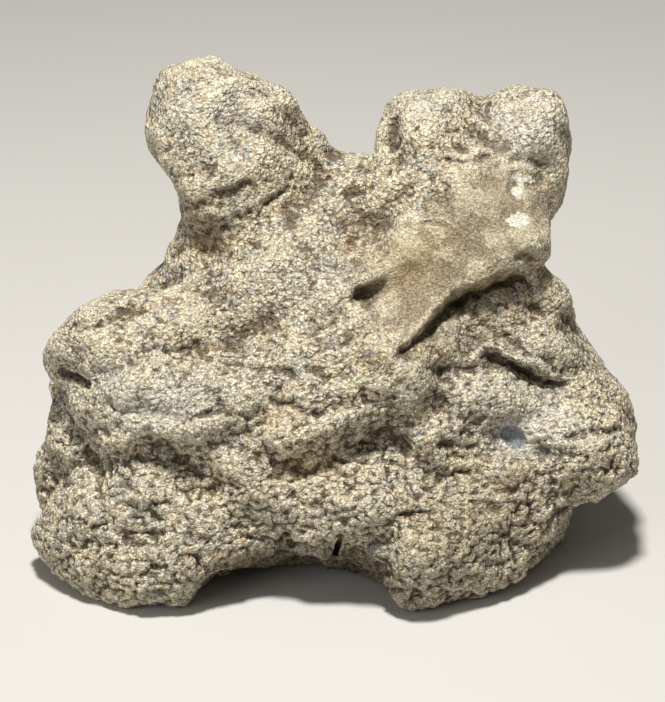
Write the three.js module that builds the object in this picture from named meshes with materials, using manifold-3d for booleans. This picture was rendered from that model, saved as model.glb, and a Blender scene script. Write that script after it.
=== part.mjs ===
// A natural cast of a dinosaur's footprint in sandstone, as one solid that stands on its lower rim.
//
// The cast is described in the frame of its sole, which leans back by LEAN: x runs across the sole,
// v runs up it, and w stands out of it, all in millimetres. Each lump of the stone is an ellipsoid, joined to
// what is below it in the list with a fillet, and each hollow is an ellipsoid taken away in the same way.
// Together they make one distance field, whose zero surface is meshed on a grid and turned upright, and the
// foot is then cut flat where the stone rests.
import * as THREE from "three";
import { mergeVertices } from "three/addons/utils/BufferGeometryUtils.js";
import Module from "manifold-3d";

const LEAN = THREE.MathUtils.degToRad(25); // the sole leans back by this from upright
const MIDDLE = [0.2, 97.1]; // x and y, in the upright frame, of the middle of the cast
const WORN = 2.2; // mm worn off the rim of the underside, which makes the pads that the stone stands on
const RECESS = 8; // mm by which the middle of the underside is hollowed
const GRID = 8.3; // mm between the samples of the field
const LOW = [-168, -40, -215]; // the corner of the sampled block, in the frame of the sole
const HIGH = [168, 300, 48]; // and its opposite corner

// The centre is [x, v, w] and the half sizes are in the same order. Turn is the angle in the plane of the
// sole and pitch the lean towards w, both in degrees, and blend is the fillet in mm.
function form(sign, centre, radii, turn, pitch, blend) {
  const { degToRad } = THREE.MathUtils;
  const rotation = new THREE.Matrix4().makeRotationFromEuler(
    new THREE.Euler(degToRad(pitch), 0, degToRad(turn), "ZXY"),
  );
  return { sign, centre, radii, inverse: rotation.transpose().elements, blend };
}

function lump(centre, radii, { turn = 0, pitch = 0, blend = 14 } = {}) {
  return form(1, centre, radii, turn, pitch, blend);
}

function hollow(centre, radii, { turn = 0, pitch = 0, blend = 6 } = {}) {
  return form(-1, centre, radii, turn, pitch, blend);
}

const forms = [
  // the trunk, its back and its two sides
  lump([0, 110, -88], [120, 104, 60]),
  lump([5, 80, -122], [112, 80, 55]),
  lump([-104, 72, -64], [50, 70, 52], { blend: 20 }),
  lump([-116, 98, -52], [31, 34, 34], { blend: 14 }),
  lump([-110, 80, -34], [26, 32, 28], { blend: 16 }),
  lump([77, 57, -62], [42, 48, 48], { blend: 16 }),
  lump([98, 45, -56], [25, 31, 35], { blend: 10 }),
  lump([97, 121, -72], [38, 78, 40], { turn: 27, blend: 16 }),
  lump([126, 82, -38], [27, 29, 32], { blend: 8 }),
  lump([119, 104, -50], [30, 30, 34], { blend: 14 }),
  // the ramp
  lump([-8, 158, -44], [84, 76, 40], { pitch: -26, blend: 16 }),
  lump([8, 206, -76], [40, 26, 26], { blend: 14 }),
  // the lower face and the feet
  lump([-101, 40, -27], [47, 40, 32], { blend: 16 }),
  lump([-78, 27, -15], [43, 31, 27], { blend: 14 }),
  lump([-118, 24, -28], [18, 24, 24], { blend: 10 }),
  lump([-8, 42, -58], [76, 42, 26], { blend: 12 }),
  lump([-62, 54, -14], [52, 34, 26], { blend: 18 }),
  lump([-5, 66, -12], [48, 31, 26], { blend: 18 }),
  lump([42, 31, -10], [32, 38, 28], { turn: -6, blend: 16 }),
  lump([74, 56, -22], [44, 32, 26], { blend: 16 }),
  lump([66, 32, -18], [32, 24, 24], { blend: 12 }),
  lump([-48, 78, -10], [24, 24, 23], { blend: 14 }),
  lump([-86, 58, -13], [30, 22, 24], { blend: 12 }),
  lump([-8, 49, -8], [54, 20, 21], { blend: 12 }),
  lump([46, 90, -11], [21, 20, 20], { blend: 12 }),
  lump([22, 18, -34], [30, 19, 24], { blend: 10 }),
  // the ledges in the middle
  lump([-82, 102, -8], [44, 26, 24], { turn: 5, blend: 14 }),
  lump([-84, 91, 1], [34, 11, 18], { turn: 3, blend: 8 }),
  lump([0, 112, -2], [56, 30, 24], { turn: 12, blend: 16 }),
  lump([-3, 97, 6], [36, 11, 15], { turn: 17, blend: 8 }),
  lump([36, 112, 6], [13, 13, 10], { blend: 8 }),
  lump([78, 106, -30], [50, 26, 24], { blend: 14 }),
  lump([62, 112, -24], [30, 26, 20], { blend: 14 }),
  // left lobe
  lump([-107, 136, -27], [41, 24, 27], { turn: 18, blend: 8 }),
  lump([-76, 138, -18], [32, 16, 16], { turn: 10, blend: 12 }),
  // left knob and its neck
  lump([-59, 208, -66], [24, 42, 28], { blend: 16 }),
  lump([-65, 250, -45], [28, 31, 29], { blend: 10 }),
  lump([-73, 263, -46], [19, 20, 20], { blend: 8 }),
  lump([-41, 245, -50], [28, 28, 27], { blend: 14 }),
  lump([-52, 245, -42], [24, 22, 24], { blend: 14 }),
  lump([-78, 259, -46], [16, 18, 19], { blend: 8 }),
  lump([-24, 222, -60], [23, 24, 22], { turn: -35, blend: 14 }),
  lump([-46, 221, -36], [29, 27, 25], { blend: 12 }),
  lump([-64, 228, -37], [21, 24, 22], { blend: 12 }),
  lump([-52, 200, -42], [26, 20, 20], { blend: 12 }),
  // right arm and its knobs
  lump([64, 178, -28], [48, 28, 24], { turn: 38, blend: 14 }),
  lump([62, 212, -42], [34, 40, 28], { blend: 14 }),
  lump([38, 172, -19], [21, 22, 20], { blend: 14 }),
  lump([70, 175, -17], [34, 12, 18], { turn: 27, blend: 10 }),
  lump([44, 154, -13], [28, 11, 17], { turn: 50, blend: 10 }),
  lump([25, 200, -46], [20, 22, 22], { blend: 16 }),
  lump([53, 243, -55], [27, 26, 26], { blend: 12 }),
  lump([64, 249, -58], [17, 20, 22], { blend: 8 }),
  lump([41, 253, -57], [14, 15, 18], { blend: 6 }),
  lump([93, 249, -54], [20, 20, 21], { blend: 6 }),
  lump([104, 234, -50], [21, 28, 25], { blend: 6 }),
  lump([90, 214, -48], [20, 36, 26], { blend: 12 }),
  lump([105, 225, -42], [14, 16, 16], { blend: 10 }),
  lump([68, 200, -84], [42, 38, 34], { blend: 18 }),
  // the panel under the arm, and the lip above the right ledge
  lump([74, 145, -31], [46, 25, 25], { turn: 14, blend: 14 }),
  lump([92, 132, -26], [34, 12, 17], { turn: -8, blend: 10 }),
  // hollows
  hollow([79, 163, -9], [26, 5, 14], { turn: 29, pitch: -34, blend: 5 }),
  hollow([90, 123, -12], [17, 6, 11], { turn: -18, pitch: -26, blend: 7 }),
  hollow([21.5, 160, 0], [9, 7, 15], { blend: 6 }),
  hollow([-126, 118, -11], [20, 5, 12], { turn: -10, blend: 6 }),
  hollow([-87, 81, 13], [18, 4, 11], { turn: 12, pitch: -30, blend: 6 }),
  hollow([3, 86, 18], [34, 5, 11], { turn: 18, pitch: -30, blend: 6 }),
  hollow([-44, 207, -16], [13, 4, 10], { turn: 27, pitch: -26, blend: 5 }),
  hollow([-66, 196, -30], [9, 4, 7], { turn: 8, pitch: -20, blend: 6 }),
  hollow([-26, -2, -8], [43, 32, 42], { blend: 6 }),
  hollow([2, -8, -2], [36, 36, 30], { blend: 8 }),
  // the broad scoops in the back
  hollow([38, 150, -182], [70, 52, 24], { pitch: -14, blend: 16 }),
  hollow([-72, 96, -186], [46, 34, 22], { turn: 20, blend: 14 }),
];

// The polynomial smooth minimum: the smaller of a and b, with a fillet of k mm where they meet.
function smoothMin(a, b, k) {
  const h = Math.max(k - Math.abs(a - b), 0) / k;
  return Math.min(a, b) - (h * h * k) / 4;
}

function ellipsoidDistance({ centre, radii, inverse }, x, v, w) {
  const dx = x - centre[0], dv = v - centre[1], dw = w - centre[2];
  const px = (inverse[0] * dx + inverse[4] * dv + inverse[8] * dw) / radii[0];
  const pv = (inverse[1] * dx + inverse[5] * dv + inverse[9] * dw) / radii[1];
  const pw = (inverse[2] * dx + inverse[6] * dv + inverse[10] * dw) / radii[2];
  const k0 = Math.hypot(px, pv, pw);
  const k1 = Math.hypot(px / radii[0], pv / radii[1], pw / radii[2]);
  return k1 < 1e-9 ? -Math.min(...radii) : (k0 * (k0 - 1)) / k1;
}

// From the frame of the sole to the upright one, with the ground at z = 0 and the middle of the cast above.
function upright([x, v, w]) {
  const y = v * Math.sin(LEAN) - w * Math.cos(LEAN);
  const z = v * Math.cos(LEAN) + w * Math.sin(LEAN);
  return [x - MIDDLE[0], y - MIDDLE[1], z];
}

// Weathering pushes each point a few mm about, so that no lump stays a plain ellipsoid.
function weathered(x, v, w) {
  return [
    x + 3.2 * Math.sin(v / 17 + w / 31 + 1.1) + 1.8 * Math.sin(v / 8.3 - w / 11 + 0.4),
    v + 2.8 * Math.sin(x / 19 - w / 23 + 2.3) + 1.9 * Math.sin(x / 9.1 + w / 13 + 1.7),
    w + 3.4 * Math.sin(x / 23 + v / 15 + 0.6) + 2.0 * Math.sin(x / 10.3 - v / 8.9 + 2.9),
  ];
}

// The lumps of the size of a walnut all over the stone.
function lumpiness(x, v, w) {
  const a = Math.sin(x / 5.9 + 1.4 * Math.sin(v / 9.7));
  const b = Math.sin(v / 5.2 + 1.2 * Math.sin(w / 8.3 + 1));
  const c = Math.sin(w / 6.4 + 1.3 * Math.sin(x / 11.1 + 2));
  return 1.5 * a * b * c + 0.9 * Math.sin(x / 8.7 + v / 7.4 + w / 9.8);
}

// The height of a point over the broken underside, which is hollowed in the middle and wavy all over.
function aboveUnderside(x, v, w) {
  const [px, py, pz] = upright([x, v, w]);
  const hollowed = RECESS * Math.exp(-((px / 66) ** 2) - ((py + 12) / 42) ** 2);
  const waves = Math.sin(px / 13 + 1.5 * Math.sin(py / 21)) * Math.sin(py / 11 + 0.8);
  return pz + WORN - hollowed - 1.7 * waves;
}

// The distance in mm from a point to the skin of the stone, below zero inside it.
function field(x0, v0, w0) {
  const [x, v, w] = weathered(x0, v0, w0);
  let d = 1e3;
  for (const f of forms) {
    const e = ellipsoidDistance(f, x, v, w);
    if (f.sign > 0) d = smoothMin(d, e, f.blend);
    else d = -smoothMin(-d, e, f.blend);
  }
  return -smoothMin(-d - lumpiness(x, v, w), aboveUnderside(x0, v0, w0), 9);
}

// The samples, from LOW in steps of GRID.
const COUNT = LOW.map((low, axis) => Math.ceil((HIGH[axis] - low) / GRID) + 1);
const STEP = [1, COUNT[0], COUNT[0] * COUNT[1]];
const place = (i, j, k) => [LOW[0] + i * GRID, LOW[1] + j * GRID, LOW[2] + k * GRID];

function sampled() {
  const samples = new Float64Array(COUNT[0] * COUNT[1] * COUNT[2]);
  for (let k = 0, n = 0; k < COUNT[2]; k++) {
    for (let j = 0; j < COUNT[1]; j++) {
      for (let i = 0; i < COUNT[0]; i++, n++) samples[n] = field(...place(i, j, k));
    }
  }
  return samples;
}

// A square of four samples with both diagonals on opposite sides of the skin would pinch it, so the outer
// sample nearest the skin is filled in, until there is none.
function unpinch(samples) {
  let changed = true;
  while (changed) {
    changed = false;
    for (let a = 0; a < 3; a++) {
      const p = STEP[a], q = STEP[(a + 1) % 3];
      for (let n = 0; n + p + q < samples.length; n++) {
        const square = [n, n + p, n + p + q, n + q];
        const inside = square.map((m) => samples[m] < 0);
        if (inside[0] !== inside[2] || inside[1] !== inside[3] || inside[0] === inside[1]) continue;
        const outer = square.filter((m, corner) => !inside[corner]);
        const nearest = samples[outer[0]] < samples[outer[1]] ? outer[0] : outer[1];
        samples[nearest] = -samples[nearest] || -1e-6;
        changed = true;
      }
    }
  }
}

// Moves a point onto the skin, by no more than a third of a cell along each axis.
function onSkin(point) {
  const { clamp } = THREE.MathUtils;
  const p = [...point];
  for (let pass = 0; pass < 4; pass++) {
    const d = field(...p);
    const slope = [0, 1, 2].map((axis) => {
      const q = [...p];
      q[axis] += 0.5;
      return (field(...q) - d) / 0.5;
    });
    const steepness = Math.max(Math.hypot(...slope), 0.5);
    const stride = clamp(d / steepness, -1.2, 1.2) / steepness;
    for (let axis = 0; axis < 3; axis++) {
      p[axis] = clamp(p[axis] - stride * slope[axis], point[axis] - 0.35 * GRID, point[axis] + 0.35 * GRID);
    }
  }
  return p;
}

// The skin: a point in each cell that it passes through, and two triangles across each grid edge it cuts.
function skin() {
  const samples = sampled();
  unpinch(samples);
  const points = [];
  const pointOf = new Map();
  for (let k = 0; k < COUNT[2] - 1; k++) {
    for (let j = 0; j < COUNT[1] - 1; j++) {
      for (let i = 0; i < COUNT[0] - 1; i++) {
        const cuts = [];
        for (let edge = 0; edge < 12; edge++) {
          const axis = edge >> 2;
          const from = [0, 0, 0];
          from[(axis + 1) % 3] = edge & 1;
          from[(axis + 2) % 3] = (edge >> 1) & 1;
          const n = (i + from[0]) * STEP[0] + (j + from[1]) * STEP[1] + (k + from[2]) * STEP[2];
          const d0 = samples[n], d1 = samples[n + STEP[axis]];
          if (d0 < 0 === d1 < 0) continue;
          from[axis] = d0 / (d0 - d1);
          cuts.push(from);
        }
        if (!cuts.length) continue;
        const cell = place(i, j, k);
        const middle = cell.map((low, axis) => {
          const sum = cuts.reduce((total, c) => total + c[axis], 0);
          return low + (GRID * sum) / cuts.length;
        });
        pointOf.set(i * STEP[0] + j * STEP[1] + k * STEP[2], points.length);
        points.push(onSkin(middle));
      }
    }
  }
  const triangles = [];
  const apart = (m, n) => Math.hypot(...points[m].map((c, axis) => c - points[n][axis]));
  for (let n = 0; n < samples.length; n++) {
    for (let axis = 0; axis < 3; axis++) {
      if (n + STEP[axis] >= samples.length) continue;
      const inside = samples[n] < 0;
      if (inside === samples[n + STEP[axis]] < 0) continue;
      const p = STEP[(axis + 1) % 3], q = STEP[(axis + 2) % 3];
      const quad = [n, n - p, n - p - q, n - q].map((m) => pointOf.get(m));
      if (quad.includes(undefined)) continue;
      if (!inside) quad.reverse();
      const [a, b, c, d] = quad;
      if (apart(a, c) < apart(b, d)) triangles.push(a, b, c, a, c, d);
      else triangles.push(b, c, d, b, d, a);
    }
  }
  return { points, triangles };
}

const wasm = await Module();
wasm.setup();

function solid(vertProperties, triVerts) {
  return new wasm.Manifold(new wasm.Mesh({
    numProp: 3,
    vertProperties: Float32Array.from(vertProperties),
    triVerts: Uint32Array.from(triVerts),
  }));
}

function slab(width, depth, height) {
  const box = new THREE.BoxGeometry(width, depth, height);
  box.translate(0, 0, -height / 2);
  box.deleteAttribute("normal");
  box.deleteAttribute("uv");
  const merged = mergeVertices(box);
  return solid(merged.attributes.position.array, merged.index.array);
}

const { points, triangles } = skin();
const stone = solid(points.map(upright).flat(), triangles).subtract(slab(600, 600, 200));
const cut = stone.getMesh();

const geometry = new THREE.BufferGeometry();
geometry.setAttribute("position", new THREE.BufferAttribute(new Float32Array(cut.vertProperties), 3));
geometry.setIndex(new THREE.BufferAttribute(new Uint32Array(cut.triVerts), 1));
geometry.computeVertexNormals();

const cast = new THREE.Mesh(
  geometry,
  new THREE.MeshStandardMaterial({ color: 0xa1957c, roughness: 0.92, metalness: 0 }),
);
cast.name = "footprint_cast";

const footprint = new THREE.Group();
footprint.name = "dinosaur_footprint_cast";
footprint.add(cast);

export default footprint;
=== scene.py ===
"""The looks of a fossil dinosaur footprint cast, a single lump of nodular sandstone.

The stone is meshed finely from much the same forms as the part's source: ellipsoids joined and cut with
fillets, in the frame of the sole, where x runs across the sole, v up it and w out of it, in millimetres. The
cracks, ledges and pits of the sole are added to that field, and the small nodules of the skin are moved out
of the mesh.
"""
import math

import bpy
import numpy as np
from mathutils import Euler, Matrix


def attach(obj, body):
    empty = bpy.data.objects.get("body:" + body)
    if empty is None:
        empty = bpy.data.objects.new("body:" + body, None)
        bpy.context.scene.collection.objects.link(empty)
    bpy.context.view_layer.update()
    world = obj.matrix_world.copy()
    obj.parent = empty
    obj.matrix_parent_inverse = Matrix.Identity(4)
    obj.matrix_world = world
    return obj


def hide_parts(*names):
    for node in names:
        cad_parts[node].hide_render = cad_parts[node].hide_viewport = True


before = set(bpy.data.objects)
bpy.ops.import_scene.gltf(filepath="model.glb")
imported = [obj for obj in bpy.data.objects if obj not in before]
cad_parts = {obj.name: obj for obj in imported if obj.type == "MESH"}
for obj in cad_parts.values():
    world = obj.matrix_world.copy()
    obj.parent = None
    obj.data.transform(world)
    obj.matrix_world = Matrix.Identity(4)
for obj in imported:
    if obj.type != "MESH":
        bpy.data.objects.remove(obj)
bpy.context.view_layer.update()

scene = bpy.context.scene
scene.view_settings.view_transform = "Standard"

MM = 0.001  # one millimetre in Blender's metres
LEAN = math.radians(25)  # how far the sole leans back
SIN, COS = math.sin(LEAN), math.cos(LEAN)
MIDDLE = (0.2, 97.1)  # the middle of the stone, before it is moved over the origin


def upright(x, v, w):
    """A place of the sole's frame as x, y and z, in millimetres, with the stone on its rest."""
    return x - MIDDLE[0], v * SIN - w * COS - MIDDLE[1], v * COS + w * SIN


# Camera and light.

VIEW_DISTANCE = 1400.0  # from the camera to the plane of the sole
VIEW_WIDTH = 351.0  # how much of that plane is in view
VIEW_CENTRE = (-1.25, 131.25)  # the x and v that the camera looks at
SENSOR_WIDTH = 36
NEAREST_SEEN = 0.01
LIT_POINT = (0, 0, 0.1)
WHITE = (1, 1, 1, 1)
AMBIENT = 0.12

camera_data = bpy.data.cameras.new("camera")
camera_data.lens = SENSOR_WIDTH * VIEW_DISTANCE / VIEW_WIDTH
camera_data.clip_start = NEAREST_SEEN
camera = bpy.data.objects.new("camera", camera_data)
scene.collection.objects.link(camera)
camera.location = [c * MM for c in upright(*VIEW_CENTRE, VIEW_DISTANCE)]
camera.rotation_euler = Euler((math.radians(90) - LEAN, 0, 0))
scene.camera = camera


def area_light(name, place, size, power, colour=(1, 1, 1)):
    """A round lamp at this place, turned to the stone."""
    data = bpy.data.lights.new(name, "AREA")
    data.shape = "DISK"
    data.size = size
    data.energy = power
    data.color = colour
    light = bpy.data.objects.new(name, data)
    scene.collection.objects.link(light)
    light.location = place
    dx, dy, dz = np.array(LIT_POINT) - np.array(place)
    light.rotation_euler = Euler((math.atan2(math.hypot(dx, dy), -dz), 0, math.atan2(-dx, dy)))


area_light("key_light", (-0.05, -0.35, 2.0), size=0.3, power=58, colour=(1.0, 0.98, 0.94))
area_light("fill_light", (-1.3, -1.3, 0.9), size=1.2, power=9)

world = bpy.data.worlds.new("studio")
scene.world = world
world.use_nodes = True
background = world.node_tree.nodes["Background"]
background.inputs["Color"].default_value = WHITE
background.inputs["Strength"].default_value = AMBIENT


# The forms of the stone: kind, centre, half sizes, turn in the plane of the sole, pitch towards w, fillet.

def lump(centre, radii, turn=0, pitch=0, blend=14):
    return 1, centre, radii, turn, pitch, blend


def hollow(centre, radii, turn=0, pitch=0, blend=6):
    return -1, centre, radii, turn, pitch, blend


FORMS = [
    # the trunk, its back and its two sides
    lump((0, 110, -88), (120, 104, 60)),
    lump((5, 80, -122), (112, 80, 55)),
    lump((-104, 72, -64), (50, 70, 52), blend=20),
    lump((-116, 98, -52), (31, 34, 34), blend=14),
    lump((-110, 80, -34), (26, 32, 28), blend=16),
    lump((77, 57, -62), (42, 48, 48), blend=16),
    lump((98, 45, -56), (25, 31, 35), blend=10),
    lump((97, 121, -72), (38, 78, 40), turn=27, blend=16),
    lump((126, 82, -38), (27, 29, 32), blend=8),
    lump((119, 104, -50), (30, 30, 34), blend=14),
    # the ramp
    lump((-8, 158, -44), (84, 76, 40), pitch=-26, blend=16),
    lump((8, 206, -76), (40, 26, 26), blend=14),
    # the lower face and the feet
    lump((-101, 40, -27), (47, 40, 32), blend=16),
    lump((-78, 27, -15), (43, 31, 27), blend=14),
    lump((-118, 24, -28), (18, 24, 24), blend=10),
    lump((-8, 42, -58), (76, 42, 26), blend=12),
    lump((-62, 54, -14), (52, 34, 26), blend=18),
    lump((-5, 66, -12), (48, 31, 26), blend=18),
    lump((42, 31, -10), (32, 38, 28), turn=-6, blend=16),
    lump((74, 56, -22), (44, 32, 26), blend=16),
    lump((66, 32, -18), (32, 24, 24), blend=12),
    lump((-48, 78, -10), (24, 24, 23), blend=14),
    lump((-86, 58, -13), (30, 22, 24), blend=12),
    lump((-8, 49, -8), (54, 20, 21), blend=12),
    lump((46, 90, -11), (21, 20, 20), blend=12),
    lump((22, 18, -34), (30, 19, 24), blend=10),
    # the ledges in the middle
    lump((-82, 102, -8), (44, 26, 24), turn=5, blend=14),
    lump((-84, 91, 1), (34, 11, 18), turn=3, blend=8),
    lump((0, 112, -2), (56, 30, 24), turn=12, blend=16),
    lump((-3, 97, 6), (36, 11, 15), turn=17, blend=8),
    lump((36, 112, 6), (13, 13, 10), blend=8),
    lump((78, 106, -30), (50, 26, 24), blend=14),
    lump((62, 112, -24), (30, 26, 20), blend=14),
    # left lobe
    lump((-107, 136, -27), (41, 24, 27), turn=18, blend=8),
    lump((-76, 138, -18), (32, 16, 16), turn=10, blend=12),
    # left knob and its neck
    lump((-59, 208, -66), (24, 42, 28), blend=16),
    lump((-65, 250, -45), (28, 31, 29), blend=10),
    lump((-73, 263, -46), (19, 20, 20), blend=8),
    lump((-41, 245, -50), (28, 28, 27), blend=14),
    lump((-52, 245, -42), (24, 22, 24), blend=14),
    lump((-78, 259, -46), (16, 18, 19), blend=8),
    lump((-24, 222, -60), (23, 24, 22), turn=-35, blend=14),
    lump((-46, 221, -36), (29, 27, 25), blend=12),
    lump((-64, 228, -37), (21, 24, 22), blend=12),
    lump((-52, 200, -42), (26, 20, 20), blend=12),
    # right arm and its knobs
    lump((64, 178, -28), (48, 28, 24), turn=38, blend=14),
    lump((62, 212, -42), (34, 40, 28), blend=14),
    lump((38, 172, -19), (21, 22, 20), blend=14),
    lump((70, 175, -17), (34, 12, 18), turn=27, blend=10),
    lump((44, 154, -13), (28, 11, 17), turn=50, blend=10),
    lump((25, 200, -46), (20, 22, 22), blend=16),
    lump((53, 243, -55), (27, 26, 26), blend=12),
    lump((64, 249, -58), (17, 20, 22), blend=8),
    lump((41, 253, -57), (14, 15, 18), blend=6),
    lump((93, 249, -54), (20, 20, 21), blend=6),
    lump((104, 234, -50), (21, 28, 25), blend=6),
    lump((108, 152, -58), (14, 20, 16), turn=27, blend=8),
    lump((82, 166, -53), (17, 12, 13), blend=6),
    lump((113, 141, -46), (9, 14, 15), turn=20, blend=8),
    lump((77, 238, -52), (15, 19, 21), blend=10),
    lump((-12, 233, -56), (13, 12, 12), blend=6),
    lump((90, 214, -48), (20, 36, 26), blend=12),
    lump((105, 225, -42), (14, 16, 16), blend=10),
    lump((68, 200, -84), (42, 38, 34), blend=18),
    # the panel under the arm, and the lip above the right ledge
    lump((74, 145, -31), (46, 25, 25), turn=14, blend=14),
    lump((92, 132, -26), (34, 12, 17), turn=-8, blend=10),
    # hollows
    hollow((33, 242, -36), (4.5, 10, 8), blend=4),
    hollow((-27.5, 35, 8), (2.6, 8, 14), blend=4),
    hollow((-0.5, 36, 8), (2.6, 7, 14), blend=4),
    hollow((18, 160, 2), (8, 6, 11), turn=20, blend=6),
    hollow((-127, 118, -11), (18, 2, 8), turn=-12, blend=3),
    hollow((-87, 81, 13), (18, 4, 11), turn=12, pitch=-30, blend=6),
    hollow((3, 86, 18), (34, 5, 11), turn=18, pitch=-30, blend=6),
    hollow((-26, -2, -8), (43, 32, 42), blend=6),
    hollow((2, -8, -2), (36, 36, 30), blend=8),
    # the broad scoops in the back
    hollow((38, 150, -182), (70, 52, 24), pitch=-14, blend=16),
    hollow((-72, 96, -186), (46, 34, 22), turn=20, blend=14),
]


# The field: the distance to the skin of the joined forms, below zero inside the stone.

GRID = 1.3
LOW = (-166.0, -30.0, -212.0)  # the corners of the field
HIGH = (166.0, 292.0, 40.0)
FAR = 1e3
MARGIN = 22  # how far past its own reach a form still matters
WORN = 2.2  # how much of the underside is worn off flat
WORN_FILLET = 9
RECESS = 8.0  # the hollow in the underside: its height, middle and half sizes
RECESS_Y = -12
RECESS_SIZE = (66, 42)
UNDERSIDE_WAVE = 1.7


def rotation(turn, pitch):
    """The matrix of a turn in the plane of the sole and a pitch towards w."""
    t, p = math.radians(turn), math.radians(pitch)
    about_w = np.array([[math.cos(t), -math.sin(t), 0], [math.sin(t), math.cos(t), 0], [0, 0, 1]])
    about_x = np.array([[1, 0, 0], [0, math.cos(p), -math.sin(p)], [0, math.sin(p), math.cos(p)]])
    return about_w @ about_x


def fade(value, start, span):
    """0 up to the start, 1 from a span beyond it, and a straight line in between."""
    return np.clip((value - start) / span, 0, 1)


def smooth_min(a, b, k):
    """The lower of two fields, with a fillet of size k where they meet."""
    h = np.maximum(k - np.abs(a - b), 0) / k
    return np.minimum(a, b) - h * h * (k / 4)


def ellipsoid_distance(form, x, v, w):
    _, centre, radii, turn, pitch, _ = form
    inverse = rotation(turn, pitch).T.astype(np.float32)
    dx, dv, dw = x - centre[0], v - centre[1], w - centre[2]
    inner = 0
    outer = 0
    for row, radius in zip(inverse, radii):
        p = (row[0] * dx + row[1] * dv + row[2] * dw) / radius
        inner = inner + p * p
        outer = outer + p * p / (radius * radius)
    k0 = np.sqrt(inner)
    return k0 * (k0 - 1) / np.maximum(np.sqrt(outer), 1e-6)


def form_reach(form):
    """How far along x, v and w a form can change the field."""
    _, _, radii, turn, pitch, blend = form
    turned = rotation(turn, pitch) * np.array(radii)
    return np.sqrt((turned ** 2).sum(1)) + blend + MARGIN


def weathered(x, v, w):
    """Where a place of the weathered stone lies among the plain forms, a few mm away."""
    s = np.sin
    return (
        x + 3.2 * s(v / 17 + w / 31 + 1.1) + 1.8 * s(v / 8.3 - w / 11 + 0.4),
        v + 2.8 * s(x / 19 - w / 23 + 2.3) + 1.9 * s(x / 9.1 + w / 13 + 1.7),
        w + 3.4 * s(x / 23 + v / 15 + 0.6) + 2.0 * s(x / 10.3 - v / 8.9 + 2.9),
    )


def lumpiness(x, v, w):
    """The height of the broad lumps of the skin."""
    s = np.sin
    a = s(x / 5.9 + 1.4 * s(v / 9.7))
    b = s(v / 5.2 + 1.2 * s(w / 8.3 + 1))
    c = s(w / 6.4 + 1.3 * s(x / 11.1 + 2))
    return 1.5 * a * b * c + 0.9 * s(x / 8.7 + v / 7.4 + w / 9.8)


def above_underside(x, v, w):
    """The height over the uneven underside that the stone had before it was worn flat."""
    px, py, pz = upright(x, v, w)
    hollowed = RECESS * np.exp(-((px / RECESS_SIZE[0]) ** 2) - ((py - RECESS_Y) / RECESS_SIZE[1]) ** 2)
    waves = np.sin(px / 13 + 1.5 * np.sin(py / 21)) * np.sin(py / 11 + 0.8)
    return pz + WORN - hollowed - UNDERSIDE_WAVE * waves


def sampled():
    """The axes of the grid, and the field of the whole stone on it."""
    axes = [np.arange(low, high, GRID, dtype=np.float32) for low, high in zip(LOW, HIGH)]
    x0, v0, w0 = np.meshgrid(*axes, indexing="ij", sparse=True)
    shape = tuple(len(a) for a in axes)
    x, v, w = (np.broadcast_to(c, shape).astype(np.float32) for c in weathered(x0, v0, w0))
    d = np.full(shape, FAR, dtype=np.float32)
    for form in FORMS:
        sign, centre, fillet = form[0], form[1], form[5]
        reach = form_reach(form)
        block = tuple(
            slice(*np.searchsorted(axes[i], (centre[i] - reach[i], centre[i] + reach[i]))) for i in range(3)
        )
        e = ellipsoid_distance(form, x[block], v[block], w[block])
        d[block] = sign * smooth_min(sign * d[block], e, fillet)
    d += lumpiness(x, v, w).astype(np.float32)
    under = above_underside(x0, v0, w0).astype(np.float32)
    return axes, -smooth_min(-d, under, WORN_FILLET)


# Noise of the location, in mm: even patches, and the domes of nodules.

HASH = (374761393, 668265263, 2147483647, 1274126177)
HASH_MOST = 0xFFFFFF
DOME_EDGE = 0.1  # how near the side of its cell the middle of a dome may lie
DOME_JITTER = 0.8
DOME_STEEPNESS = 1.5


def lattice(i, j, k, seed):
    """An even random number from 0 to 1 for each corner of a lattice."""
    n = i * HASH[0] + j * HASH[1] + k * HASH[2] + seed * HASH[3]
    n = (n ^ (n >> 13)) * HASH[3]
    n = (n ^ (n >> 16)) & HASH_MOST
    return n / float(HASH_MOST)


def patches(p, size, seed):
    """Smooth noise from -1 to 1 whose patches are of this size."""
    q = p / size
    cell = np.floor(q).astype(np.int64)
    f = q - cell
    f = f * f * (3 - 2 * f)
    value = 0
    for corner in np.ndindex(2, 2, 2):
        weight = np.prod([f[:, c] if corner[c] else 1 - f[:, c] for c in range(3)], axis=0)
        value = value + weight * lattice(*(cell[:, c] + corner[c] for c in range(3)), seed)
    return value * 2 - 1


def domes(p, size, seed):
    """Rounded domes with sharp creases between them: 1 at the middle of each, near 0 in the creases."""
    q = p / size
    cell = np.floor(q).astype(np.int64)
    nearest = np.full(len(p), 9.0)
    for step in np.ndindex(3, 3, 3):
        near = [cell[:, c] + step[c] - 1 for c in range(3)]
        middle = [near[c] + DOME_EDGE + DOME_JITTER * lattice(*near, seed + c) for c in range(3)]
        nearest = np.minimum(nearest, sum((middle[c] - q[:, c]) ** 2 for c in range(3)))
    return np.sqrt(np.maximum(1 - DOME_STEEPNESS * nearest, 0))


# The relief of the sole: a height in mm over its plane, on a raster of one sample a millimetre. RX and RV are
# the x and v of each sample, led astray a little, so that no line of the relief is quite straight.

RELIEF_X = np.arange(-175.0, 176.0)
RELIEF_V = np.arange(-30.0, 300.0)
FACING_FROM = 0.05  # how far the stone has to face out of the sole for the relief to show
FACING_SPAN = 0.45
LINE_END = 8  # the length over which a ledge runs out
LEDGE_EDGE = 1.2  # how soft the edge of a ledge is


def astray(samples, seed):
    return 2.4 * patches(samples, 11, seed) + 1.2 * patches(samples, 4.5, seed + 1)


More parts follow.
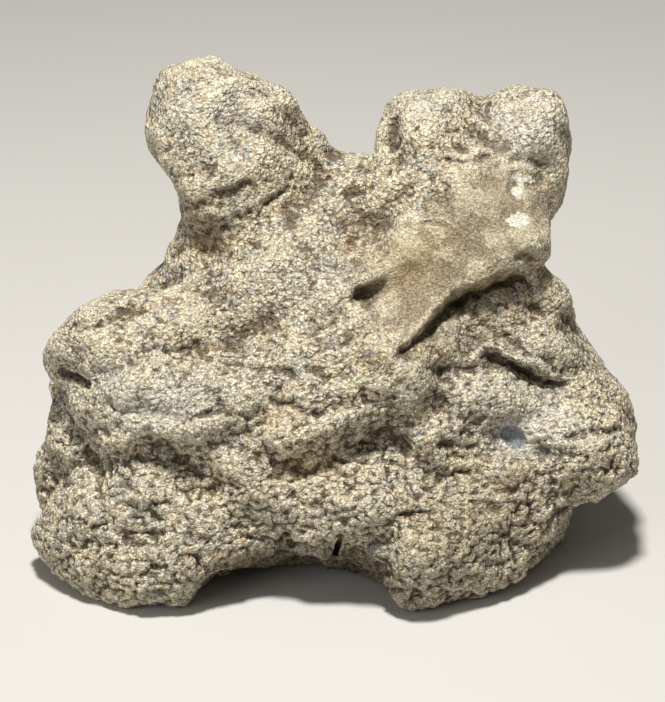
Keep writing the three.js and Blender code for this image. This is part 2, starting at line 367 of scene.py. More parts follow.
RX, RV = np.meshgrid(RELIEF_X, RELIEF_V, indexing="ij")
raster = np.stack([RX.ravel(), RV.ravel(), np.zeros(RX.size)], axis=1)
RX = RX + astray(raster, 21).reshape(RX.shape)
RV = RV + astray(raster, 23).reshape(RV.shape)
relief = np.zeros_like(RX)


def blob(x, v, centre, radii, turn=0):
    """1 at the centre, and fading to 0 over the half sizes, which are turned by this many degrees."""
    angle = math.radians(turn)
    px, pv = x - centre[0], v - centre[1]
    across = (px * math.cos(angle) + pv * math.sin(angle)) / radii[0]
    up = (pv * math.cos(angle) - px * math.sin(angle)) / radii[1]
    return np.exp(-(across ** 2 + up ** 2))


def along(points):
    """Every sample's distance to a line, its side of it and how far along it is, and the line's length."""
    points = np.array(points, dtype=float)
    steps = np.diff(points, axis=0)
    lengths = np.hypot(steps[:, 0], steps[:, 1])
    starts = np.concatenate([[0], np.cumsum(lengths)])
    nearest = np.full(RX.shape, 1e9)
    side = np.zeros(RX.shape)
    travel = np.zeros(RX.shape)
    for start, step, length, begun in zip(points[:-1], steps, lengths, starts):
        px, pv = RX - start[0], RV - start[1]
        t = np.clip((px * step[0] + pv * step[1]) / length ** 2, 0, 1)
        away = np.hypot(px - t * step[0], pv - t * step[1])
        closer = away < nearest
        nearest = np.where(closer, away, nearest)
        side = np.where(closer, np.sign(step[0] * pv - step[1] * px), side)
        travel = np.where(closer, begun + t * length, travel)
    return nearest, side, travel / starts[-1], starts[-1]


def crack(points, width, depth):
    """A groove along the line, which runs out at its ends."""
    away, _, t, length = along(points)
    ends = np.clip(np.minimum(t, 1 - t) * length / (2 * width), 0.25, 1)
    relief[:] -= depth * ends * np.exp(-((away / (width * ends)) ** 2))


def ledge(points, rise, drop, reach, under):
    """A step along the line: the stone to the left of it stands proud, and to the right of it is cut back."""
    away, side, t, length = along(points)
    ends = np.clip(np.minimum(t, 1 - t) * length / LINE_END, 0, 1)
    signed = away * side
    upper = rise * np.exp(-np.maximum(signed, 0) / reach)
    lower = -drop * np.exp(-np.maximum(-signed, 0) / under)
    share = 0.5 + 0.5 * np.tanh(signed / LEDGE_EDGE)
    relief[:] += ends * (share * upper + (1 - share) * lower)


def mound(centre, radii, height, turn=0):
    """A rounded lump, or a pit where height is below zero."""
    relief[:] += height * blob(RX, RV, centre, radii, turn)


# under the left knob: two hollows with a fold between them, and a thin crack that curves up to the right
ledge([(-64, 211), (-55, 215), (-46, 218), (-37, 216)], 1.0, 4.5, 4, 6)
ledge([(-76, 205), (-67, 207), (-57, 205)], 0.8, 3, 3, 5)
mound((-58, 203), (15, 3.5), 2.6, 14)
ledge([(-80, 192), (-70, 197), (-58, 197), (-48, 196)], 0.8, 3, 3, 6)
crack([(-37, 206), (-31, 208), (-26, 213), (-21, 222)], 1.2, 3.0)
mound((-23, 250), (5, 4), -1.8)
mound((-34, 250), (7, 6), 1.4)
mound((-84, 233), (7, 2.2), -1.0, 8)
mound((-66, 238), (10, 8), 1.5)
mound((-88, 188), (7, 14), -2.5, -20)

# the left lobe, the crack under it and the rough flank below
crack([(-143, 121), (-132, 121), (-124, 116), (-112, 116)], 1.4, 1.5)
ledge([(-88, 130), (-76, 134), (-66, 138)], 0.9, 2.4, 4, 7)
mound((-118, 154), (16, 6), 1.6, 14)
mound((-92, 160), (12, 5), 1.6, 8)
mound((-104, 140), (9, 7), 1.4)
mound((-128, 140), (8, 8), 1.2)
crack([(-138, 146), (-124, 143), (-112, 149), (-98, 150), (-84, 146)], 2.6, 1.5)
mound((-112, 107), (4, 4), -4)
mound((-133, 94), (10, 8), -4)
mound((-131, 78), (5, 9), 2.0)
mound((-139, 62), (6, 12), -1.8)
crack([(-121, 96), (-120, 72), (-115, 54), (-112, 38)], 3, 1.6)
crack([(-130, 92), (-124, 91), (-116, 91)], 1.4, 3.2)
mound((-128, 50), (6, 10), 1.8)
mound((-124, 24), (7, 8), 1.6)

# the left ledge, its smooth plate and the undercut beneath it
ledge([(-104, 79), (-92, 78), (-79, 77), (-72, 82), (-58, 91)], 1.0, 2, 4, 7)
mound((-93, 108), (11, 5), 1.5, 6)
mound((-94, 98), (16, 4), 0.8, 8)
crack([(-112, 103), (-100, 103), (-84, 103), (-70, 98), (-56, 103)], 1.8, 1.8)
crack([(-60, 110), (-55, 103), (-52, 96)], 2.4, 1.6)
mound((-73, 90), (7, 6), 1.5)
mound((-62, 60), (4, 3), -3)
mound((-107, 66), (4, 3), -3)

# the centre ledge, the nose at its right end and the undercut beneath it
ledge([(-34, 76), (-18, 78), (-7, 82), (8, 88), (23, 94), (38, 94)], 1.0, 2, 5, 8)
mound((-18, 71), (5, 3), -2.5)
mound((5, 72), (7, 3), -2, 10)
mound((3, 104), (13, 4), -2.6, 10)
mound((-14, 112), (12, 5), 1.8, 6)
mound((22, 115), (12, 5), 1.8, 10)
mound((38, 106), (8, 8), 2.2)
mound((-16, 94), (12, 6), 1.5, 10)
mound((8, 96), (12, 5), 1.6, 14)
mound((-33, 100), (6, 10), -1.8)
crack([(-34, 112), (-24, 104), (-12, 103), (-4, 100)], 1.8, 1.8)
crack([(10, 118), (16, 110), (18, 101)], 1.6, 1.8)

# the middle of the ramp
mound((17, 131), (7, 5), 1.4)
mound((4, 126), (10, 5), 1.6, 12)
mound((-22, 130), (10, 6), 1.2, -20)
mound((-43, 132), (8, 8), 1.2)
crack([(-58, 122), (-44, 122), (-30, 120), (-14, 121), (4, 117)], 2.6, 2.0)
mound((8, 185), (2.2, 2.6), -4)
mound((9, 174), (1.6, 1.6), -2.2)
mound((-28, 190), (10, 16), 1.2, 20)
mound((-8, 205), (14, 8), 1.2, -10)
mound((21, 201), (8, 8), 1.6)
mound((-5, 222), (9, 6), 1.6)
mound((-40, 176), (12, 8), 1.0)
mound((-14, 165), (12, 10), 1.0)

# the triangular pit beneath the arm
crack([(6, 152), (12, 159), (20, 166)], 2.4, 3.5)
mound((20, 162), (6, 3.5), -1.5, 30)
mound((15, 156), (6, 4), -1.5, 45)
mound((28, 152), (4, 7), 1.5, -20)
crack([(92, 171), (99, 166), (100, 157), (105, 150)], 1.8, 2.5)

# the arm, its sharp lower edge and the slot under it
ledge([(28, 127), (39, 138), (49, 148), (58, 157), (68, 163), (81, 167), (97, 171)], 1.8, 8.5, 6, 11)
crack([(56, 155), (68, 162), (80, 166), (96, 169)], 2.4, 4.5)
mound((103, 152), (8, 5), -4.5)
crack([(86, 175), (93, 179), (101, 178)], 1.6, 2.4)
crack([(60, 176), (70, 180), (82, 180), (92, 184)], 1.4, 0.9)
crack([(44, 198), (51, 195), (60, 190)], 1.1, 2.0)
mound((30, 178), (11, 9), 1.2)
mound((68, 188), (12, 8), 1.3, 20)
mound((40, 208), (9, 12), 1.2)

# the grey panel, the wedge and the streaks on the right
ledge([(72, 133), (84, 127), (94, 122), (107, 118), (120, 115)], 3.0, 7, 7, 12)
crack([(86, 124), (96, 120), (108, 117), (116, 115)], 2.2, 4.0)
mound((53, 119), (7, 3.5), -4, 0)
mound((67, 121), (5, 3), -3.5)
mound((97, 100), (7, 4), -2.6, 16)
mound((80, 103), (6, 3), -2)
mound((70, 132), (7, 5), 1.5, 30)
mound((58, 138), (6, 8), 1.2, -30)
mound((94, 140), (12, 5), 1.4, -14)
crack([(66, 146), (80, 142), (94, 132), (112, 126)], 2.0, 1.6)
ledge([(112, 88), (121, 90), (134, 91), (146, 90)], 1.2, 4.2, 3, 4)
mound((112, 102), (9, 6), 1.6, -20)
mound((130, 100), (9, 5), 1.4, -10)
mound((90, 88), (7.5, 5), -1.6, -24)
mound((72, 94), (12, 7), -1.2)

# the lower right, under the bulge
mound((128, 78), (14, 9), 1.6)
ledge([(108, 50), (116, 54), (126, 56), (140, 52)], 1.8, 5, 4, 7)
mound((86, 62), (9, 3.5), -3.4)
mound((63, 71), (10, 4), -3, -4)
mound((76, 74), (10, 5), 1.6)
mound((96, 72), (9, 5), 1.6, 10)
mound((41, 49), (7, 4), -3.2)
mound((26, 64), (5, 4), -2.6)
mound((98, 44), (10, 5), 1.5)
mound((78, 46), (10, 6), 1.8, 10)
mound((58, 54), (8, 6), 1.5)

# the rough lower face and the feet
ledge([(-58, 24), (-44, 29), (-28, 34), (-12, 34), (-2, 36), (4, 36), (10, 32), (21, 27), (30, 26)],
      1.6, 4.5, 5, 8)
mound((42, 13), (4, 3), -2.5)
mound((36, 28), (9, 8), 1.8)
mound((46, 40), (7, 7), 1.4)
mound((20, 50), (9, 5), 1.6)
mound((-10, 56), (12, 6), 2.0, 8)
mound((-24, 50), (8, 5), 1.4)
mound((4, 60), (8, 4), 1.6)
mound((-44, 60), (9, 7), 1.5)
mound((-92, 62), (12, 8), 1.8)
mound((-72, 46), (10, 8), 1.6, -20)
mound((-104, 48), (8, 6), 1.4)
mound((-122, 34), (5, 4), -3.5)
mound((-100, 36), (6, 5), -3.5)
mound((-117, 44), (4, 4), -2.5)
mound((-86, 20), (9, 4), -3, -12)
mound((-64, 30), (9, 6), -2, 20)
mound((-96, 12), (10, 5), 1.5)
crack([(-56, 66), (-46, 48), (-44, 34)], 2.2, 1.2)

# the right knobs: a recess on the left, a hole with a lip, the fold between them and a small cavity
mound((31, 236), (4, 8), -2.5)
mound((64, 235), (2.4, 2.2), -5.5)
crack([(57, 229), (64, 227.5), (73, 227), (79, 229)], 1.2, 3.4)
mound((71, 232), (7, 2.6), 1.6, 6)
crack([(81, 262), (78, 254), (79, 247)], 2.2, 1.6)
mound((68, 224), (9, 3), -1.0, 6)
crack([(88, 226), (98, 228), (108, 226)], 1.8, 2.2)
mound((90, 214), (3, 4), -6)
mound((90, 199), (5, 4), -1.6)
mound((98, 208), (5, 9), 1.2)
mound((45, 256), (10, 6), 1.2, 10)
mound((100, 246), (12, 10), 1.0)
mound((88, 254), (7, 6), 1.0)
mound((106, 222), (4, 8), -1.8, -10)
crack([(40, 222), (50, 216), (60, 214)], 1.8, 1.4)


def relief_at(x, v):
    """The relief between the samples of its raster."""
    i = np.clip(x - RELIEF_X[0], 0, len(RELIEF_X) - 1.001)
    j = np.clip(v - RELIEF_V[0], 0, len(RELIEF_V) - 1.001)
    a, b = i.astype(int), j.astype(int)
    s, t = i - a, j - b
    return (
        relief[a, b] * (1 - s) * (1 - t)
        + relief[a + 1, b] * s * (1 - t)
        + relief[a, b + 1] * (1 - s) * t
        + relief[a + 1, b + 1] * s * t
    )


def with_relief(axes, d):
    """The relief shows where the stone faces out of the sole, and fades round its sides."""
    facing = np.gradient(d, GRID, axis=2)
    share = fade(facing, FACING_FROM, FACING_SPAN)
    share = share * share * (3 - 2 * share)
    x, v = np.meshgrid(axes[0], axes[1], indexing="ij")
    return d - relief_at(x, v).astype(np.float32)[:, :, None] * share


# Nets of points and triangles.

def skin(d):
    """The skin of the field: a net of one point in each cell that it passes through, and its quads."""
    inside = d < 0
    shape = d.shape
    cells = int(np.prod(shape))
    strides = np.array([shape[1] * shape[2], shape[2], 1])
    total = np.zeros((cells, 3), dtype=np.float32)
    count = np.zeros(cells, dtype=np.int16)
    flat = d.reshape(-1)
    crossings = []
    for axis in range(3):
        low_side = [slice(0, -1) if a == axis else slice(1, -1) for a in range(3)]
        high_side = [slice(1, None) if a == axis else slice(1, -1) for a in range(3)]
        cut = np.argwhere(inside[tuple(low_side)] != inside[tuple(high_side)])
        cut += [0 if a == axis else 1 for a in range(3)]
        here = cut @ strides
        d0, d1 = flat[here], flat[here + strides[axis]]
        place = cut.astype(np.float32)
        place[:, axis] += d0 / (d0 - d1)
        p, q = strides[(axis + 1) % 3], strides[(axis + 2) % 3]
        around = [here, here - p, here - p - q, here - q]
        for cell in around:
            for c in range(3):
                total[:, c] += np.bincount(cell, place[:, c], cells).astype(np.float32)
            count += np.bincount(cell, minlength=cells).astype(np.int16)
        crossings.append((around, d0 < 0))
    used = np.flatnonzero(count)
    points = total[used] / count[used, None] * GRID + np.array(LOW, dtype=np.float32)
    index = np.full(cells, -1, dtype=np.int64)
    index[used] = np.arange(len(used))
    quads = []
    for around, starts_inside in crossings:
        quad = np.stack([index[cell] for cell in around], axis=1)
        quads.append(np.where(starts_inside[:, None], quad, quad[:, ::-1]))
    return points.astype(np.float64), np.concatenate(quads)


def outer_skin(points, triangles):
    """The largest joined skin alone: closed bubbles inside the stone are left out."""
    ends = np.concatenate([triangles[:, :2], triangles[:, 1:]])
    root = np.arange(len(points))
    while True:
        a, b = root[ends[:, 0]], root[ends[:, 1]]
        if (a == b).all():
            break
        np.minimum.at(root, np.maximum(a, b), np.minimum(a, b))
        while (root != root[root]).any():
            root = root[root]
    kept = root == np.bincount(root).argmax()
    number = np.cumsum(kept) - 1
    return points[kept], number[triangles[kept[triangles[:, 0]]]]


def normals_of(p, triangles):
    """The outward direction at every point."""
    a, b, c = (p[triangles[:, i]] for i in range(3))
    across = np.cross(b - a, c - a)
    total = np.stack(
        [sum(np.bincount(triangles[:, i], across[:, c], len(p)) for i in range(3)) for c in range(3)], axis=1
    )
    return total / np.maximum(np.linalg.norm(total, axis=1, keepdims=True), 1e-9)


def eased(values, triangles, passes):
    """Each value drawn to the mean of its neighbours, over and over."""
    a = triangles[:, [0, 1, 2]].ravel()
    b = triangles[:, [1, 2, 0]].ravel()
    count = np.maximum(np.bincount(a, minlength=len(values)), 1)
    for _ in range(passes):
        values = np.stack(
            [np.bincount(a, values[b, c], len(values)) / count for c in range(values.shape[1])], axis=1
        )
    return values


# Where the sole is sandy, pale, rusty, grey and so on, and where shade is painted under the arch, the arm and
# the left knob: the middle, half sizes and turn of each patch.

PATCHES = {
    "sand": [((64, 187), (44, 17), 22), ((41, 160), (22, 14), 48), ((82, 206), (18, 18), 0)],
    "pale": [((92, 214), (3.4, 6), 10), ((97, 219), (6, 2), 0), ((92, 197), (6.4, 4.4), 10)],
    "chalk": [((86, 252), (9, 5), 20), ((-60, 255), (24, 16), 0), ((98, 246), (16, 14), 0),
              ((-90, 104), (26, 13), 4), ((104, 96), (24, 14), 0), ((48, 258), (12, 6), 10),
              ((-94, 98), (17, 6), 4), ((90, 88), (12, 9), -24), ((-112, 118), (12, 7), 0)],
    "rust": [((-64, 188), (13, 5), 0), ((8, 185), (6, 6), 0), ((92, 68), (12, 8), 0),
             ((74, 165), (22, 4), 24)],
    "grey": [((74, 132), (40, 20), -8), ((70, 99), (32, 16), 0), ((-60, 110), (30, 16), 0),
             ((-20, 170), (26, 26), 0), ((100, 247), (17, 15), 0)],
    "ochre": [((38, 178), (17, 12), 20), ((20, 129), (12, 6), 0), ((-14, 74), (18, 7), 8),
              ((-60, 184), (14, 6), 0), ((-30, 98), (9, 6), 0)],
    "pink": [((60, 240), (10, 11), 0), ((56, 236), (10, 9), 0), ((20, 150), (16, 12), 0)],
    # soil, and painted shade under the overhangs of the arm and the left knob
    "soil_and_shade": [((66, 44), (30, 20), 0), ((72, 146), (34, 11), 24), ((84, 152), (24, 12), 20),
             ((60, 138), (20, 8), 40), ((-50, 213), (15, 7), 20), ((-68, 199), (12, 9), 20)],
    "coarse": [((76, 144), (36, 14), 24), ((-58, 196), (20, 12), 10), ((-122, 104), (13, 12), 0)],
    # painted shade under the arch, where its lip keeps the light off the underside
    "arch_shade": [((-8, 25), (42, 8), 0), ((20, 17), (20, 7), -28), ((-52, 18), (18, 7), 28)],
}
SAND_GAIN = 1.3
MARKED_FROM = -95  # patches and marks fade out over the back, from this w and over this many mm
MARKED_SPAN = 30

# Small marks with a firmer edge: the gain of the patch, what is taken off it, and the patch.
MARKS = {
    "lens": (8, 3.0, ((90, 88), (7.8, 5.4), -44)),
    "halo": (3, 0.8, ((90, 88), (11, 8), -44)),
    "glint": (2.0, 0.7, ((17, 131), (2.8, 2.2), 0)),
}


def regions(p):
    """How much of each kind of patch or mark there is, from 0 to 1, at points in the frame of the sole."""
    x, v, w = p[:, 0], p[:, 1], p[:, 2]
    front = fade(w, MARKED_FROM, MARKED_SPAN)
    found = {}
    for name, blobs in PATCHES.items():
        total = sum(blob(x, v, *args) for args in blobs)
        found[name] = np.clip(SAND_GAIN * total if name == "sand" else total, 0, 1) * front
    for name, (gain, less, args) in MARKS.items():
        found[name] = np.clip(gain * blob(x, v, *args) - less, 0, 1) * front
    return found


# The nodules, pits and seams of the skin.

def roughness_of(p):
    """How far each point of the skin is moved outward, in mm."""
    v, w = p[:, 1], p[:, 2]
    found = regions(p)
    sand = found["sand"]
    low = np.maximum(fade(-v, -150, 90), 0.9 * found["coarse"])
    drift = np.stack([patches(p, 7, 40 + c) for c in range(3)], axis=1)
    squeezed = p * (0.85, 1.1, 1)

    swells = (1 - 0.8 * sand) * (0.45 + 0.55 * low) * patches(p, 18, 1)
    crumbs = 0.35 * patches(p, 2.9, 5)
    nodules = (
        0.5 * patches(p, 9, 2)
        + (0.2 + 2.0 * low) * (domes(squeezed + 1.6 * drift, 4.4, 3) - 0.7)
        + (1.05 + 0.45 * low) * (domes(squeezed + 1.2 * drift, 3.0, 9) - 0.7)
    )
    moved = swells + crumbs + (1 - 0.65 * sand) * (0.8 + 0.3 * low) * nodules

    lower_face = fade(-v, -104, 20) * fade(w, -70, 20)
    stretched = p * (0.5, 1, 0.8) + 1.5 * drift
    seams = np.clip(1 - np.abs(patches(stretched, 8, 11)) / 0.25, 0, 1)
    pits = fade(patches(stretched, 5, 13), 0.25, 0.4)
    moved -= lower_face * (1.3 * seams + 2.0 * pits) * np.clip(0.6 + 1.2 * patches(p, 15, 12), 0, 1)

    behind_sole = fade(-w, 90, 30)
    moved += behind_sole * (2.2 * patches(p, 24, 31) + 1.3 * patches(p, 11, 32))
    return moved * (1 - 0.85 * found["lens"])


# The stone: its net cut into triangles, roughened, stood on its rest, and thinned out.

MOST_TRIANGLES = 194000
FRONT_FACING = -0.25  # a point belongs to the front if it faces out of the sole by more than this
BACK_THINNING = 0.62  # the share of the triangles on the back that goes first


def new_mesh(name, vertices, faces):
    mesh = bpy.data.meshes.new(name)
    mesh.vertices.add(len(vertices))
    mesh.vertices.foreach_set("co", vertices.astype(np.float32).ravel())
    mesh.loops.add(3 * len(faces))
    mesh.loops.foreach_set("vertex_index", faces.astype(np.int32).ravel())
    mesh.polygons.add(len(faces))
    mesh.polygons.foreach_set("loop_start", np.arange(0, 3 * len(faces), 3, dtype=np.int32))
    mesh.update(calc_edges=True)
    mesh.validate()
    return mesh


def thinned(mesh, ratio, spared=None):
    """The mesh with this share of its triangles, taken away where its points are not spared."""
    if ratio >= 1:
        return mesh
    whole = bpy.data.objects.new("thinning", mesh)
    scene.collection.objects.link(whole)
    modifier = whole.modifiers.new("thin", "DECIMATE")
    modifier.ratio = ratio
    if spared is not None:
        group = whole.vertex_groups.new(name="spared")
        group.add(np.flatnonzero(spared).tolist(), 1.0, "REPLACE")
        modifier.vertex_group = group.name
        modifier.vertex_group_factor = 1.0
    bpy.context.view_layer.update()
    evaluated = whole.evaluated_get(bpy.context.evaluated_depsgraph_get())
    thin = bpy.data.meshes.new_from_object(evaluated)
    bpy.data.objects.remove(whole)
    return thin


axes, field = sampled()
points, quads = skin(with_relief(axes, field))
del field
points, triangles = outer_skin(points, np.concatenate([quads[:, [0, 1, 2]], quads[:, [0, 2, 3]]]))
points = 0.5 * points + 0.5 * eased(points, triangles, 1)
outward = normals_of(points, triangles)
points = points + roughness_of(points)[:, None] * outward
x, y, z = upright(*points.T)
world_points = np.stack([x, y, np.maximum(z, 0)], axis=1) * MM

front = outward[:, 2] > FRONT_FACING
back_faces = int((~front[triangles]).all(axis=1).sum())
kept = len(triangles) - BACK_THINNING * back_faces
mesh = new_mesh("footprint_cast", world_points, triangles)
mesh = thinned(mesh, kept / len(triangles), front)
mesh = thinned(mesh, MOST_TRIANGLES / kept)
mesh.polygons.foreach_set("use_smooth", np.ones(len(mesh.polygons), dtype=bool))


# What the paint needs to know of each place: how deep it lies in small and in large hollows, and its region.

NEAR_PASSES = 3
FAR_PASSES = 45
CREASE_DEPTH = 1.0  # the depths in mm over which the paint goes from proud to sunk
HOLLOW_DEPTH = 9.0


def mesh_arrays(mesh):
    vertices = np.zeros(3 * len(mesh.vertices), dtype=np.float32)
    mesh.vertices.foreach_get("co", vertices)
    mesh.calc_loop_triangles()
    faces = np.zeros(3 * len(mesh.loop_triangles), dtype=np.int32)
    mesh.loop_triangles.foreach_get("vertices", faces)
    return vertices.reshape(-1, 3).astype(np.float64), faces.reshape(-1, 3).astype(np.int64)


def give(name, values):
    layer = mesh.attributes.new(name, "FLOAT", "POINT")
    layer.data.foreach_set("value", values.astype(np.float32))


def sunk_by(surface, around, directions, depth):
    """From 0 where the surface stands proud of what is around it, to 1 where it lies this deep below it."""
    return np.clip(0.5 - ((surface - around) * directions).sum(1) / depth, 0, 1)


vertices, faces = mesh_arrays(mesh)
mm = vertices / MM
outward = normals_of(mm, faces)
near = eased(mm, faces, NEAR_PASSES)
far = eased(near, faces, FAR_PASSES)
give("crease", sunk_by(mm, near, outward, CREASE_DEPTH))
give("depth", sunk_by(near, far, outward, HOLLOW_DEPTH))
across, behind, height = mm[:, 0] + MIDDLE[0], mm[:, 1] + MIDDLE[1], mm[:, 2]
sole_place = np.stack([across, behind * SIN + height * COS, height * SIN - behind * COS], axis=1)
for name, values in regions(sole_place).items():
    give(name, values)


# The stone's finish.

class Paint:
    """Short names for the nodes of one material."""

    def __init__(self, name):
        self.material = bpy.data.materials.new(name)
        self.material.use_nodes = True
        self.tree = self.material.node_tree
        self.tree.nodes.clear()
        output = self.node("ShaderNodeOutputMaterial")
        self.shader = self.node("ShaderNodeBsdfPrincipled")
        self.link(self.shader.outputs[0], output.inputs["Surface"])

    def node(self, kind, **settings):
        made = self.tree.nodes.new(kind)
        for key, value in settings.items():
            setattr(made, key, value)
        return made

    def link(self, source, target):
        self.tree.links.new(source, target)

    def put(self, value, socket):
        if isinstance(value, bpy.types.NodeSocket):
            self.link(value, socket)
        else:
            socket.default_value = value

    def math(self, operation, a, b, clamp=False):
        made = self.node("ShaderNodeMath", operation=operation, use_clamp=clamp)
        self.put(a, made.inputs[0])
        self.put(b, made.inputs[1])
        return made.outputs[0]

    def times(self, a, b):
        return self.math("MULTIPLY", a, b)

    def rest_of(self, share, clamp=False):
        return self.math("SUBTRACT", 1.0, share, clamp)

    def vector(self, operation, a, b):
        made = self.node("ShaderNodeVectorMath", operation=operation)
        self.put(a, made.inputs[0])
        self.put(b, made.inputs["Scale"] if operation == "SCALE" else made.inputs[1])
        return made.outputs[0]

    def place(self):
        return self.node("ShaderNodeTexCoord").outputs["Object"]

    def noise(self, place, size, detail=3, roughness=0.6, output="Fac"):
        made = self.node("ShaderNodeTexNoise")
        self.link(place, made.inputs["Vector"])
        made.inputs["Scale"].default_value = 1 / size
        made.inputs["Detail"].default_value = detail
        made.inputs["Roughness"].default_value = roughness
        return made.outputs[output]

    def cells(self, place, size, output="Distance"):
        made = self.node("ShaderNodeTexVoronoi")
        self.link(place, made.inputs["Vector"])
        made.inputs["Scale"].default_value = 1 / size
        return made.outputs[output]

    def ramp(self, value, low, high, start=0.0, end=1.0):
        made = self.node("ShaderNodeMapRange", interpolation_type="SMOOTHSTEP")
        self.put(value, made.inputs["Value"])
        for socket, number in zip(("From Min", "From Max", "To Min", "To Max"), (low, high, start, end)):
            made.inputs[socket].default_value = number
        return made.outputs["Result"]

    def blend(self, share, a, b):
        made = self.node("ShaderNodeMix", data_type="RGBA")
        self.put(share, made.inputs["Factor"])
        self.put(a, made.inputs[6])
        self.put(b, made.inputs[7])
        return made.outputs[2]

    def known(self, name):
        return self.node("ShaderNodeAttribute", attribute_name=name).outputs["Fac"]

    def look(self, colour, roughness):
        """Sets the base colour and the roughness, each a plain value or a node's output."""
        self.put(colour, self.shader.inputs["Base Color"])
        self.put(roughness, self.shader.inputs["Roughness"])


def linear(c):
    return c / 12.92 if c <= 0.04045 else ((c + 0.055) / 1.055) ** 2.4


def srgb(r, g, b):
    return tuple(linear(c / 255) for c in (r, g, b)) + (1,)


SWAY = 2.2  # how far in mm the nodules are led astray
BUMP_HEIGHT = 1.0 * MM
SPECULAR = 0.35

paint = Paint("nodular_sandstone")
place = paint.vector("SCALE", paint.place(), 1 / MM)
sway = paint.vector("SUBTRACT", paint.noise(place, 5.0, 1, 0.5, "Color"), (0.5, 0.5, 0.5))
swayed = paint.vector("ADD", place, paint.vector("SCALE", sway, SWAY))

sand, lens = paint.known("sand"), paint.known("lens")
crease, depth = paint.known("crease"), paint.known("depth")
grain = paint.noise(place, 1.0, 3, 0.7)
middling = paint.noise(place, 7)

# relief too fine for the mesh: nodules of two sizes, and the grain
big_dome = paint.rest_of(paint.math("POWER", paint.cells(swayed, 2.4), 2.0), clamp=True)
small_dome = paint.rest_of(paint.math("POWER", paint.cells(swayed, 1.3), 2.0), clamp=True)
calm = paint.rest_of(paint.times(sand, 0.7))
calm = paint.times(calm, paint.ramp(paint.noise(place, 16), 0.35, 0.6, 0.6, 1.0))
bumps = paint.math("ADD", paint.times(big_dome, 1.9), paint.times(small_dome, 0.9))
bumps = paint.math("ADD", paint.times(bumps, calm), paint.times(grain, paint.ramp(sand, 0, 1, 0.6, 1.1)))
bump = paint.node("ShaderNodeBump")
bump.inputs["Strength"].default_value = 1.0
bump.inputs["Distance"].default_value = BUMP_HEIGHT
paint.link(paint.times(bumps, paint.rest_of(lens)), bump.inputs["Height"])
paint.link(bump.outputs[0], paint.shader.inputs["Normal"])

# how much there is of each tint
tan = paint.noise(paint.vector("ADD", place, (40, 0, 0)), 6, 3, 0.65)
cool = paint.noise(paint.vector("ADD", place, (0, 70, 0)), 8, 3, 0.65)
# painted highlight: the tops of the nodules made lighter, as if lit from above
dome_highlight = paint.times(paint.ramp(big_dome, 0.78, 1.0), calm)
# painted shade: the gaps between the nodules made darker
small_gap_shade = paint.times(paint.ramp(small_dome, 0.7, 0.35), 0.7)
gap_shade = paint.times(paint.math("MAXIMUM", paint.ramp(big_dome, 0.75, 0.45), small_gap_shade), calm)
# painted shade: the creases made darker
crease_shade = paint.times(paint.ramp(crease, 0.56, 0.9, 0, 0.8), paint.rest_of(paint.times(sand, 0.9)))
# painted shade: the larger hollows made darker
hollow_shade = paint.times(paint.ramp(depth, 0.64, 1.0, 0, 0.35), paint.rest_of(sand))
rust = paint.times(paint.known("rust"), paint.ramp(middling, 0.35, 0.6, 0.3, 0.8))
pale = paint.math("ADD", paint.known("pale"), paint.times(paint.noise(place, 3.0), 0.9))
chalk = paint.times(paint.known("chalk"), paint.ramp(middling, 0.35, 0.6, 0.1, 0.55))
halo = paint.times(paint.known("halo"), paint.ramp(middling, 0.3, 0.6, 0.5, 0.9))

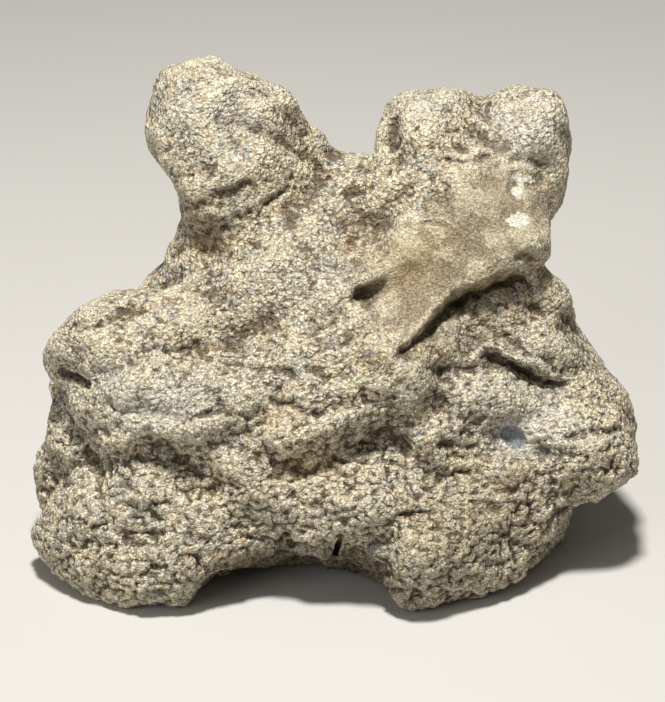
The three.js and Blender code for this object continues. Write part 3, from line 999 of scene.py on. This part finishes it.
# the tints, each laid over those before it
TINTS = [
    (paint.ramp(middling, 0.42, 0.68, 0, 0.8), (158, 147, 122)),  # dull patches
    (paint.ramp(tan, 0.5, 0.63, 0, 0.75), (190, 163, 119)),
    (paint.ramp(cool, 0.5, 0.63, 0, 0.8), (158, 159, 156)),
    (paint.times(paint.known("grey"), 0.5), (160, 156, 146)),
    (paint.times(sand, 0.75), (154, 138, 116)),
    (paint.times(paint.known("pink"), 0.5), (186, 162, 140)),
    (paint.times(dome_highlight, 0.5), (230, 221, 196)),  # painted highlight on the tops of the nodules
    (paint.ramp(grain, 0.5, 0.66, 0, 0.75), (238, 231, 210)),  # light grains
    (paint.ramp(grain, 0.49, 0.36, 0, 0.7), (104, 90, 66)),  # dark grains
    (paint.times(gap_shade, 0.6), (88, 74, 52)),  # painted shade between the nodules
    (paint.times(sand, 0.65), (144, 128, 103)),
    (paint.times(paint.known("ochre"), 0.45), (186, 158, 110)),
    (crease_shade, (80, 66, 46)),  # painted shade in the creases
    (hollow_shade, (104, 88, 64)),  # painted shade in the larger hollows
    (paint.ramp(crease, 0.45, 0.15, 0, 0.35), (226, 217, 188)),  # rubbed edges
    (paint.times(rust, 0.7), (134, 104, 66)),
    # soil, and painted shade under the arm and the left knob
    (paint.times(paint.known("soil_and_shade"), 0.4), (112, 96, 70)),
    # painted shade under the arch
    (paint.times(paint.known("arch_shade"), 0.75), (84, 70, 50)),
    (paint.ramp(pale, 0.86, 0.98, 0, 0.9), (222, 217, 202)),  # calcite
    (chalk, (206, 202, 190)),
    (halo, (200, 196, 184)),  # the pale rim of the lens-shaped pebble
    (lens, (118, 121, 125)),
    (paint.known("glint"), (130, 128, 140)),
]
colour = paint.blend(paint.ramp(paint.noise(place, 30), 0.35, 0.65), srgb(203, 190, 161), srgb(180, 173, 158))
for share, tint in TINTS:
    colour = paint.blend(share, colour, srgb(*tint))

# the single grains, some light and some dark
one_grain = paint.node("ShaderNodeSeparateColor")
paint.link(paint.cells(place, 0.85, "Color"), one_grain.inputs[0])
plain_grit, sandy_grit = (paint.ramp(one_grain.outputs[0], 0.05, 0.95, 0.64, most) for most in (1.33, 1.26))
colour = paint.vector("MULTIPLY", colour, paint.blend(sand, plain_grit, sandy_grit))
dullness = paint.math("SUBTRACT", paint.ramp(grain, 0.3, 0.7, 0.78, 0.95), paint.times(lens, 0.15))
paint.look(colour, dullness)
paint.shader.inputs["Specular IOR Level"].default_value = SPECULAR

stone = bpy.data.objects.new("sandstone_cast", mesh)
scene.collection.objects.link(stone)
mesh.materials.append(paint.material)
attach(stone, "root")
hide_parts("footprint_cast")


# The floor: a plain pale studio board.

FLOOR_REACH = 6.0
FLOOR_CORNERS = [(-1, -1), (1, -1), (1, 1), (-1, 1)]

floor_paint = Paint("studio_board")
mottle = floor_paint.noise(floor_paint.place(), 0.4, 2, 0.5)
floor_paint.look(floor_paint.blend(mottle, srgb(190, 188, 184), srgb(196, 194, 190)), 0.9)
floor_mesh = bpy.data.meshes.new("floor")
floor_mesh.from_pydata([(i * FLOOR_REACH, j * FLOOR_REACH, 0) for i, j in FLOOR_CORNERS], [], [(0, 1, 2, 3)])
floor_mesh.materials.append(floor_paint.material)
floor = bpy.data.objects.new("floor", floor_mesh)
scene.collection.objects.link(floor)


bpy.context.view_layer.update()
